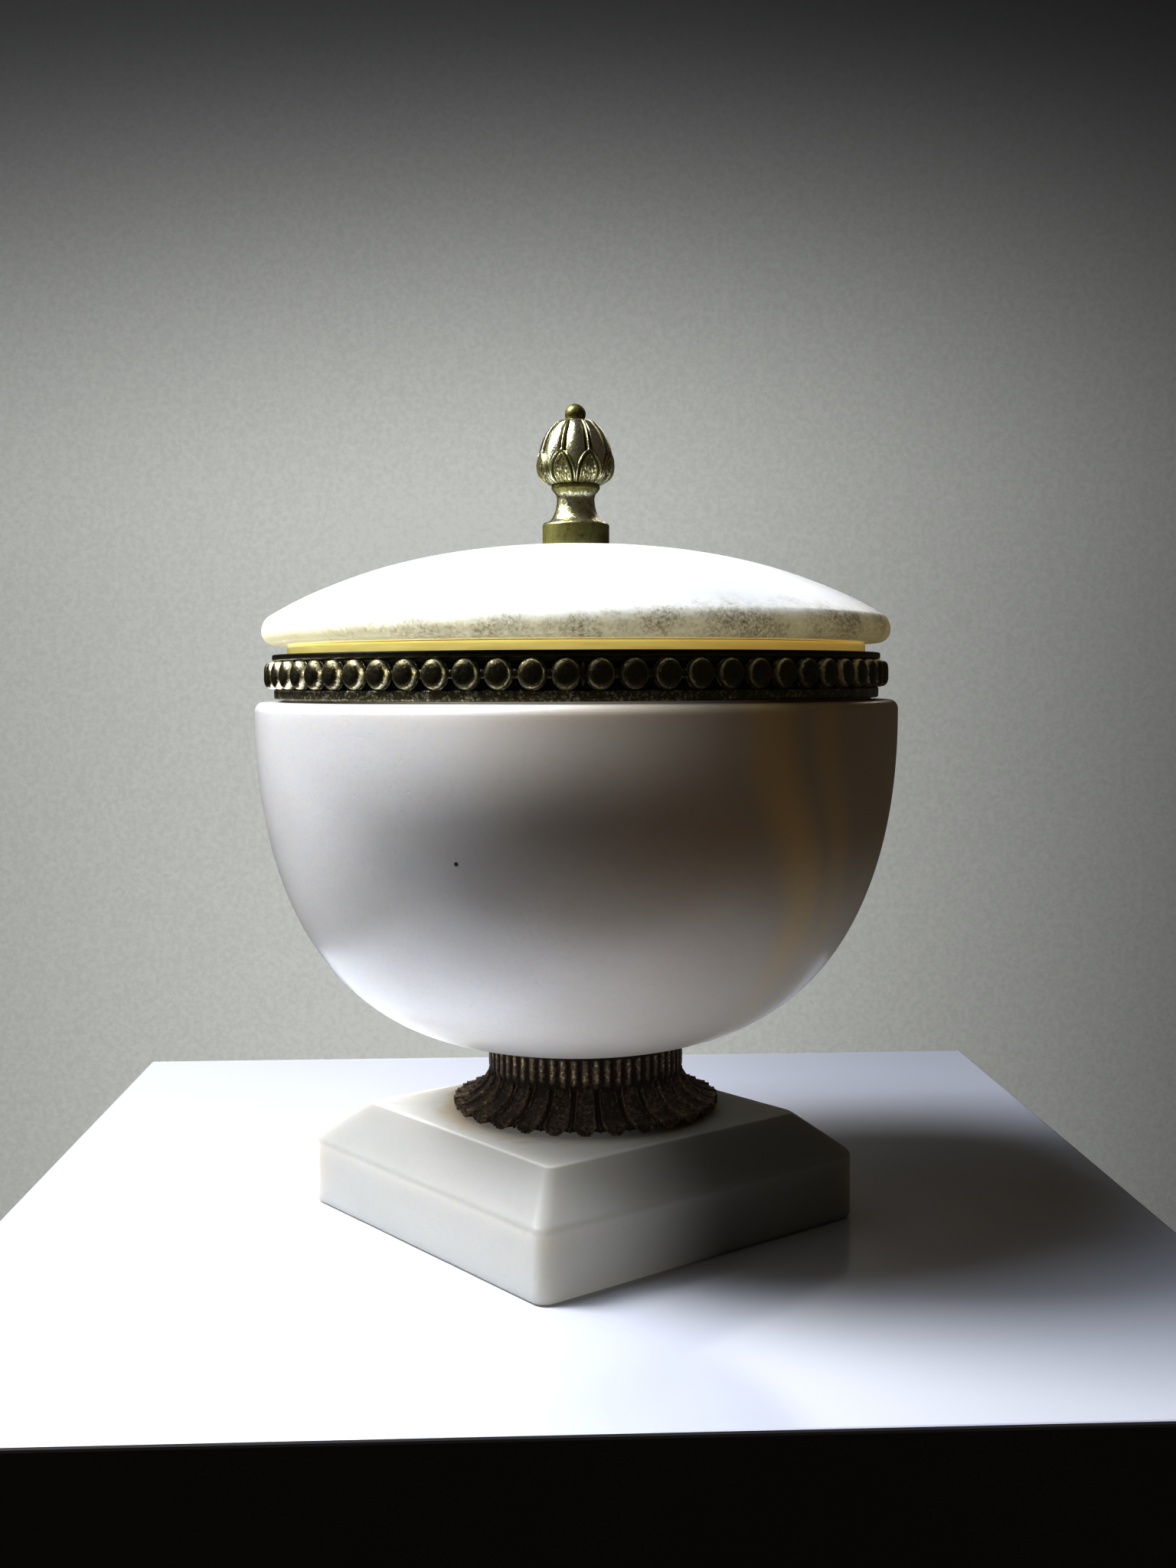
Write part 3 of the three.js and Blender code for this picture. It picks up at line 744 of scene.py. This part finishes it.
def add_dome(shape, crest, bearing, half_width, half_height, rise, rings, sides, ringed):
    """A stamped dome on the band's ground, its pole outward, with a thin ring if ringed."""
    ahead = Vector((math.cos(bearing), math.sin(bearing), 0))
    aside = Vector((-ahead.y, ahead.x, 0))
    base = ahead * (band_ground - bead_root) + Vector((0, 0, bead_middle))
    stack = [(1.0, 0.0, 0.3), (1.0, bead_root, 0.55)]
    if ringed:
        stack = [(1.07, 0.0, 0.2), (1.07, bead_root + 0.2, 0.55),
                 (1.03, bead_root + 0.4, 0.75), (0.995, bead_root + 0.35, 0.6)]
    for ring in range(1, rings):
        angle = quarter * ring / rings
        reach, up = math.cos(angle) ** bead_squareness, math.sin(angle) ** bead_squareness
        rubbed = 0.95 - 0.6 * ease(0.4, 0.9, math.sin(angle))
        stack.append((reach, bead_root + rise * up, rubbed))
    lines = []
    for reach, height, rubbed in stack:
        line = []
        for side in range(sides):
            around = math.tau * side / sides
            spot = base + ahead * height + aside * (half_width * reach * math.cos(around))
            spot += Vector((0, 0, half_height * reach * math.sin(around)))
            if ringed:
                spot += ahead * reach * bead_dent * noise.noise(spot * 0.55)
            vertex = shape.verts.new(spot * mm)
            vertex[crest] = rubbed
            line.append(vertex)
        lines.append(line)
    for low, high in zip(lines, lines[1:]):
        for side in range(sides):
            after = (side + 1) % sides
            shape.faces.new((low[side], low[after], high[after], high[side]))
    pole = shape.verts.new((base + ahead * (bead_root + rise)) * mm)
    pole[crest] = 0.35
    for side in range(sides):
        shape.faces.new((lines[-1][side], lines[-1][(side + 1) % sides], pole))
    shape.faces.new(list(reversed(lines[0])))


def bead_mesh(name, domes):
    """Domes at their bearings, each with its half width, half height and rise."""
    shape = bmesh.new()
    crest = shape.verts.layers.float.new("crest")
    for bearing, half_width, half_height, rise, rings, sides in domes:
        add_dome(shape, crest, bearing, half_width, half_height, rise, rings, sides, rings > 4)
    mesh = bpy.data.meshes.new(name)
    shape.to_mesh(mesh)
    shape.free()
    return mesh


def joined(name, meshes):
    """Several meshes with the same finish made one."""
    shape = bmesh.new()
    for mesh in meshes:
        shape.from_mesh(mesh)
    whole = bpy.data.meshes.new(name)
    shape.to_mesh(whole)
    shape.free()
    return whole


band_brass = old_brass("band brass", (0.90, 0.86, 0.67), (0.11, 0.096, 0.048), (0.022, 0.022, 0.028),
                       0.64, 0.32, 0.32, 0.0007, 0.9, 0.85)
bead_pitch = math.tau / bead_count
one_bead = bead_mesh("bead and tie", [
    (0.0, bead_half_width, bead_half_height, bead_rise, 8, 22),
    (bead_pitch / 2, tie_half_width, tie_half_height, tie_rise, 3, 10)])
beads = made_by(set_out, one_bead, {
    "Count": bead_count, "First Bearing": joint_bearing + bead_pitch / 2, "Weld": 0.0,
    "Tone Seed": 11, "Finish": band_brass}, "beads")
sliver = bead_mesh("sliver of a cut bead", [
    (joint_bearing, sliver_half_width, bead_half_height * 0.8, bead_rise * 0.7, 5, 12)])
ring = made_by(turning, outline_mesh("band outline", band_outline()), {
    "Facets": bead_count * 4, "Weld": 0.00001, "Finish": band_brass}, "ring")
crest = ring.attributes.new("crest", "FLOAT", "POINT")
for vertex, value in zip(ring.vertices, crest.data):
    height = vertex.co.z / mm
    value.value = low_fillet_crest if height < band_base + low_fillet_height else 0.0
    if abs(height - (band_top - top_fillet_height)) < 0.45:
        value.value = top_edge_crest
band_mesh = joined("beaded_band", (ring, beads, sliver))
finished_piece("band_of_beads", band_mesh, band_brass, "beaded_band")

# LID
# One piece of turned alabaster, whiter than the bowl: a low dome with a round edge, a spigot
# that fits the bowl's mouth, and a hollow underneath. Its edge is speckled grey and olive.

lid_underside = 135.78
lid_widest = 138.68
lid_radius = 73.2
lid_edge_radius = 70.4
lid_shoulder = 142.48
lid_edge_turn = math.radians(64.85)    # there the round edge runs into the dome
dome_rise = 16.6
dome_flatness = 0.31
lid_seat_radius = 8.4
spigot_radius = 61.4
spigot_bottom = 132.78
hollow_radius = 55.4
hollow_top = 150.4
most_soiled = (-0.12, -0.99, 0.0)     # the side where the edge is most speckled
edge_to_window = (-12.6, 5.4, 0.0)    # the product with a place on the edge is 1 at most


def dome_height(radius):
    share = radius / lid_edge_radius
    return lid_shoulder + dome_rise * (1 - (1 - dome_flatness) * share ** 2 - dome_flatness * share ** 4)


def lid_outline():
    hollow = arc((0.0, spigot_bottom), hollow_radius, hollow_top - spigot_bottom, quarter, 0, 24)
    hollow[0] = (0.0, hollow_top)
    centre = (lid_edge_radius, lid_widest)
    inset = lid_radius - lid_edge_radius
    lower = arc(centre, inset, lid_widest - lid_underside, -quarter, 0, 8)
    upper = arc(centre, inset, lid_shoulder - lid_widest, 0, lid_edge_turn, 9)
    spigot = softened([hollow[-1], (spigot_radius, spigot_bottom), (spigot_radius, lid_underside), lower[0]],
                      (0, 0.6, 0.4, 0), 3)
    dome = []
    steps = 48
    edge_radius, edge_height = upper[-1]
    lift = edge_height - dome_height(edge_radius)
    for step in range(1, steps + 1):
        radius = edge_radius + (lid_seat_radius - edge_radius) * step / steps
        dome.append((radius, dome_height(radius) + lift * ease(54.0, edge_radius, radius)))
    return hollow + spigot[1:-1] + lower + upper[1:] + dome + [(0.0, dome_height(lid_seat_radius))]


lid_stone, tree, shader, place, colour = alabaster(
    "lid alabaster", (0.78, 0.80, 0.81), (0.73, 0.75, 0.755), (0.66, 0.64, 0.58),
    (0.6, 0.1, 0.9), 0.55, 0.34)
parts = node(tree, "ShaderNodeSeparateXYZ", {0: place}).outputs
# The edge is speckled grey and olive, most of all on one side.
speckle = grain(tree, place, 0.0008, 4, 0.75)
patches = grain(tree, moved(tree, place, (0.02, 0.01, 0.0), (1, 1, 1.2)), 0.011, 4, 0.65)
soiled_side = step_between(tree, far_along(tree, place, most_soiled), -0.02, 0.06, 0.3, 0.95)
ragged = reckon(tree, "MULTIPLY_ADD", reckon(tree, "SUBTRACT", patches, 0.5), -0.016, parts[2])
near_edge = step_between(tree, ragged, 0.1375, 0.1455, 1.0, 0.0)
share = product(tree, near_edge, soiled_side, step_between(tree, patches, 0.35, 0.65, 0.5, 1.0),
                step_between(tree, speckle, 0.32, 0.68, 0.12, 0.85))
colour = blend(tree, share, colour, (0.36, 0.33, 0.23))
# Under the edge the stone is painted olive yellow: painted shade, tinted as if by light
# reflected from the brass and come through the stone.
olive = step_between(tree, parts[2], 0.1362, 0.1405, 0.7, 0.0)
colour = blend(tree, olive, colour, (0.72, 0.65, 0.33))
tree.links.new(colour, shader.inputs["Base Color"])
# An emission paints a glow along the edge, most of it on the lit side and none on the
# speckles: painted light for what enters the dome and comes out again there.
lit = step_between(tree, far_along(tree, place, edge_to_window), -0.8, 0.9)
glow = blend(tree, lit, (0.24, 0.21, 0.12), (0.68, 0.69, 0.56))
edge = product(tree, step_between(tree, parts[2], 0.1385, 0.1462, 1.0, 0.0),
               step_between(tree, off_axis(tree, place), 0.060, 0.070),
               reckon(tree, "SUBTRACT", 1.0, share))
glow = blend(tree, edge, (0.0, 0.0, 0.0), glow)
tree.links.new(glow, shader.inputs["Emission Color"])
shader.inputs["Emission Strength"].default_value = 0.9
shader.inputs["Subsurface Scale"].default_value = 0.008

lid_mesh = made_by(turning, outline_mesh("lid outline", lid_outline()), {
    "Facets": bowl_facets, "Weld": 0.00001, "Finish": lid_stone}, "lid")
finished_piece("lid_turning", lid_mesh, lid_stone, "lid")

# FINIAL
# A small cast and chased brass bud on a turned stem, screwed to the lid: eight petals with a
# double outline and a punched ground, and eight smooth lobes above them with ribs between.

finial_base = 159.215
base_radius = 7.85
base_height = 5.2
base_arris = 0.5
waist_radius = 4.4
waist_height = 10.9
collar_radius = 5.7
collar_height = 13.1
collar_thickness = 0.9
bud_radius = 9.0
bud_root = 5.2
bud_height = 15.2
bud_belly = 4.4
bud_top_radius = 2.6
knob_radius = 2.45
knob_height = 3.8
bud_lobes = 8
petal_height = 7.5
lobe_depth = 0.75
petal_rise = 0.55
petal_bearing = math.radians(231.9)   # a valley between two petals faces the front


def finial_rows():
    """The finial's outline from its underside to its top, each point with its outward
    direction and its share of the way up the bud."""
    bud_bottom = finial_base + collar_height + collar_thickness
    bud_top = bud_bottom + bud_height
    belly_height = bud_bottom + bud_belly
    foot = base_radius - base_arris
    cove_width = foot - waist_radius
    lower = arc((foot, finial_base + waist_height), cove_width, waist_height - base_height,
                3 * quarter, 2 * quarter, 14)
    upper = [(waist_radius + 0.25, finial_base + waist_height + 0.9),
             (collar_radius - 0.25, finial_base + collar_height - 0.35)]
    base = softened([(0.0, finial_base), (base_radius, finial_base),
                     (base_radius, finial_base + base_height - base_arris), lower[0]],
                    (0, 0.15, 0.2, 0), 3)
    stem = divided(base, 1.6) + lower[1:] + upper
    stem += softened([upper[-1], (collar_radius, finial_base + collar_height),
                      (collar_radius, bud_bottom - 0.1), (bud_root, bud_bottom)],
                     (0, 0.2, 0.3, 0), 2)[1:]
    under = arc((bud_root, belly_height), bud_radius - bud_root, bud_belly, -quarter, 0, 22)
    over = arc((bud_top_radius, belly_height), bud_radius - bud_top_radius,
               bud_top - belly_height, 0, quarter, 46)
    centre = (0.0, bud_top + knob_height - knob_radius)
    start = -math.asin((knob_height - knob_radius) / knob_radius) * 0.98
    knob = arc(centre, knob_radius, knob_radius, start, quarter, 12)
    knob[-1] = (0.0, bud_top + knob_height)
    skin = stem + under[1:] + over[1:] + [(knob[0][0], bud_top)] + knob[1:]
    rows = []
    for index, (radius, height) in enumerate(skin):
        back, on = skin[max(0, index - 1)], skin[min(len(skin) - 1, index + 1)]
        along = Vector((on[0] - back[0], on[1] - back[1]))
        along = along.normalized() if along.length > 0 else Vector((0, 1))
        rows.append((radius, height, along.y, -along.x, (height - bud_bottom) / bud_height))
    return rows


def finial_point(row, across):
    radius, height, out, up, climb = row
    if not 0 < climb < 1:
        # The stem's waist is rubbed bright, and the knob is dark.
        above = height - finial_base
        plain = 0.84 if base_height - 0.7 < above < waist_height + 1.2 else 0.5
        if climb >= 1:
            plain = 0.38
        bearing = across * math.tau / bud_lobes
        spot = Vector((radius * math.cos(bearing), radius * math.sin(bearing), height))
        return radius, height, plain + 0.3 * noise.noise(spot / 0.9)
    # A lobe's middle is at across = 0, and a petal's middle at either edge of the cut.
    from_petal = 0.5 - abs(across)
    risen = climb * bud_height / petal_height
    half = 0.5 * max(0.0, 1 - risen ** 2.5) ** 0.72 if risen < 1 else -1.0
    ends = ease(0.0, 0.10, climb) * ease(1.0, 0.9, climb)
    on_petal = ease(0.015, -0.03, from_petal - half) if risen < 1 else 0.0
    outline = round_hill(from_petal - half + 0.03, 0.046) if risen < 1 else 0.0
    groove = round_hill(from_petal - half + 0.115, 0.030) if risen < 0.97 else 0.0
    doubled = risen < 0.95 and half > 0.2
    second = round_hill(from_petal - half + 0.175, 0.030) if doubled else 0.0
    ground = on_petal * ease(0.0, 0.06, half - 0.2 - from_petal)
    punched = noise.noise(Vector((across * 34, height * 2.6, 0.5))) * ground
    petal = petal_rise * (0.7 * outline + 0.2 * second - groove - 0.5 * ground
                          + 0.35 * punched - 0.3 * on_petal)
    # Above the petals, lobes swell between narrow ribs that run up from the petals' tips.
    rib = round_hill(from_petal, 0.05)
    trough = round_hill(from_petal - 0.10, 0.04)
    lobe = lobe_depth * (0.3 * math.cos(across * 2 * math.pi) - 0.55 - 0.75 * trough + 0.55 * rib)
    foot_line = ease(0.0, 0.06, from_petal - half) if 0 <= half else 1.0
    lobe -= 0.5 * lobe_depth * (1 - foot_line) * (1 - on_petal)
    lift = (lobe * (1 - on_petal) + petal) * ends
    shine = (0.86 - 0.9 * trough) * (1 - on_petal) * foot_line
    rubbed = max(shine, outline, 0.95 * second, 0.66 * on_petal + 0.9 * punched)
    return radius + out * lift, height + up * lift, max(0.0, rubbed * (1 - 0.9 * groove))


finial_brass = old_brass("finial brass", (0.90, 0.87, 0.68), (0.28, 0.26, 0.09),
                         (0.018, 0.016, 0.008), 0.66, 0.20, 0.42, 0.0006, 0.6, 0.5)
finial_cut = cut_mesh("finial cut", finial_rows(), math.tau / bud_lobes, 54, finial_point)
finial_mesh = made_by(set_out, finial_cut, {
    "Count": bud_lobes, "First Bearing": petal_bearing, "Weld": 0.00001, "Tone Seed": 2,
    "Finish": finial_brass}, "finial")
finished_piece("finial_casting", finial_mesh, finial_brass, "finial")

# FLOOR AND BACKDROP
# A square block of a table with a pale, lightly polished top and sides painted near black as
# shade, all of its edges in view, and a plain grey wall on which the light falls off.

table_turn = math.radians(2.0)
table_behind = 165.0
table_before = 122.0
table_left = 138.0
table_right = 137.0
table_thickness = 400.0
table_arris = 0.9
wall_behind = 900.0
wall_half_width = 2200.0
wall_below = 900.0
wall_above = 1500.0
wall_light = (0.605, 0.615, 0.59)


def surroundings(name, shape, finish):
    """A part of the surroundings, not of the object."""
    mesh = bpy.data.meshes.new(name)
    bmesh.ops.recalc_face_normals(shape, faces=shape.faces)
    shape.to_mesh(mesh)
    shape.free()
    mesh.materials.append(finish)
    made = bpy.data.objects.new(name, mesh)
    bpy.context.scene.collection.objects.link(made)
    return made


table_finish, tree, shader, place = new_finish("table top")
mottle = grain(tree, place, 0.16, 2, 0.4)
colour = blend(tree, mottle, (0.645, 0.66, 0.70), (0.685, 0.70, 0.73))
# Towards the right the top is painted greyer: painted shade where the lamps' light falls off.
painted_falloff = step_between(tree, far_along(tree, place, aside), -0.08, 0.13, 0.0, 0.9)
colour = blend(tree, painted_falloff, colour, (0.40, 0.42, 0.47))
tree.links.new(colour, shader.inputs["Base Color"])
wiped = step_between(tree, grain(tree, place, 0.05, 2, 0.4), 0.3, 0.7, 0.15, 0.18)
tree.links.new(wiped, shader.inputs["Roughness"])
# The sides are painted near black: painted shade.
painted_shade_sides, tree, shader, place = new_finish("table sides")
colour = blend(tree, grain(tree, place, 0.02, 3), (0.030, 0.026, 0.024), (0.042, 0.037, 0.034))
tree.links.new(colour, shader.inputs["Base Color"])
shader.inputs["Roughness"].default_value = 0.6
slab = bmesh.new()
corners = []
turn = Matrix.Rotation(table_turn, 3, "Z")
for height in (0.0, -table_thickness):
    for before, beside in ((table_before, -table_left), (table_before, table_right),
                           (-table_behind, table_right), (-table_behind, -table_left)):
        corner = turn @ (toward * before + aside * beside) + Vector((0, 0, height))
        corners.append(slab.verts.new(corner * mm))
slab.faces.new(corners[:4])
slab.faces.new(corners[4:])
for index in range(4):
    after = (index + 1) % 4
    side = (corners[index], corners[after], corners[after + 4], corners[index + 4])
    slab.faces.new(side).material_index = 1
table = surroundings("table", slab, table_finish)
table.data.materials.append(painted_shade_sides)
soft_edge = table.modifiers.new("soft edge", "BEVEL")
soft_edge.width, soft_edge.segments = table_arris * mm, 3

wall_finish, tree, shader, place = new_finish("wall")
parts = node(tree, "ShaderNodeSeparateXYZ", {0: place}).outputs
beside = far_along(tree, place, aside)
# The light falls off to both sides and above.
fade = product(tree, step_between(tree, beside, -0.7, -0.1, 0.66, 1.0),
               step_between(tree, beside, -0.1, 0.7, 1.0, 0.21),
               step_between(tree, parts[2], 0.23, 0.68, 1.0, 0.04))
plaster = step_between(tree, grain(tree, place, 0.004, 4, 0.7), 0.3, 0.7, 0.94, 1.05)
paint = blend(tree, product(tree, fade, plaster), (0.0, 0.0, 0.0), wall_light)
tree.links.new(paint, shader.inputs["Emission Color"])
shader.inputs["Emission Strength"].default_value = 1.0
shader.inputs["Base Color"].default_value = (0.015, 0.015, 0.015, 1.0)
shader.inputs["Roughness"].default_value = 0.9
sheet = bmesh.new()
middle = toward * -wall_behind
edges = [middle - aside * wall_half_width, middle + aside * wall_half_width]
low, high = Vector((0, 0, -wall_below)), Vector((0, 0, wall_above))
places = (edges[0] + low, edges[1] + low, edges[1] + high, edges[0] + high)
sheet.faces.new([sheet.verts.new(corner * mm) for corner in places])
wall = surroundings("wall", sheet, wall_finish)
wall.visible_diffuse = False
wall.visible_glossy = False

# LIGHT
# Three soft lamps at the left stand in for a window, a weak one stands behind, and a low
# warm sky fills the shaded side.


def soft_lamp(name, bearing, elevation, distance, width, height, power, colour):
    """A rectangular lamp aimed at the bowl. Bearing 0 is the camera's, and the left is negative."""
    lamp = bpy.data.lights.new(name, "AREA")
    lamp.shape, lamp.size, lamp.size_y = "RECTANGLE", width, height
    lamp.energy, lamp.color = power, colour
    turn, rise = view_bearing + math.radians(bearing), math.radians(elevation)
    back = Vector((math.cos(turn) * math.cos(rise), math.sin(turn) * math.cos(rise), math.sin(rise)))
    made = bpy.data.objects.new(name, lamp)
    made.location = Vector((0, 0, 0.1)) + back * distance
    made.rotation_euler = back.to_track_quat("Z", "Y").to_euler()
    bpy.context.scene.collection.objects.link(made)
    return made


soft_lamp("high window", -75, 62, 1.15, 0.4, 0.4, 12.5, (0.76, 0.84, 1.0))
soft_lamp("window", -90, 50, 1.15, 0.4, 0.4, 19.5, (1.0, 0.97, 0.97))
soft_lamp("low window", -97, 32, 1.15, 0.8, 0.8, 4.0, (0.85, 0.95, 1.0))
soft_lamp("back window", 165, 30, 1.3, 0.7, 0.5, 2.0, (1.0, 0.96, 0.9))

sky = bpy.data.worlds.new("sky")
sky.use_nodes = True
sky.node_tree.nodes["Background"].inputs["Color"].default_value = (1.0, 0.84, 0.62, 1.0)
sky.node_tree.nodes["Background"].inputs["Strength"].default_value = 0.085
bpy.context.scene.world = sky

# CAMERA
# It stands where the photograph was taken from, a little above the bowl's middle.

camera_place = (-0.24557, -0.31353, 0.12764)
pan, tilt, roll = -0.67098, quarter - 0.06237, -0.00436

camera_data = bpy.data.cameras.new("camera")
camera_data.lens = 38.485
camera_data.sensor_width = 36
camera = bpy.data.objects.new("camera", camera_data)
camera.matrix_world = (Matrix.Translation(camera_place) @ Matrix.Rotation(pan, 4, "Z")
                       @ Matrix.Rotation(tilt, 4, "X") @ Matrix.Rotation(roll, 4, "Z"))
bpy.context.scene.collection.objects.link(camera)
bpy.context.scene.camera = camera
bpy.context.scene.view_settings.view_transform = "Standard"
bpy.context.scene.view_settings.gamma = 0.72
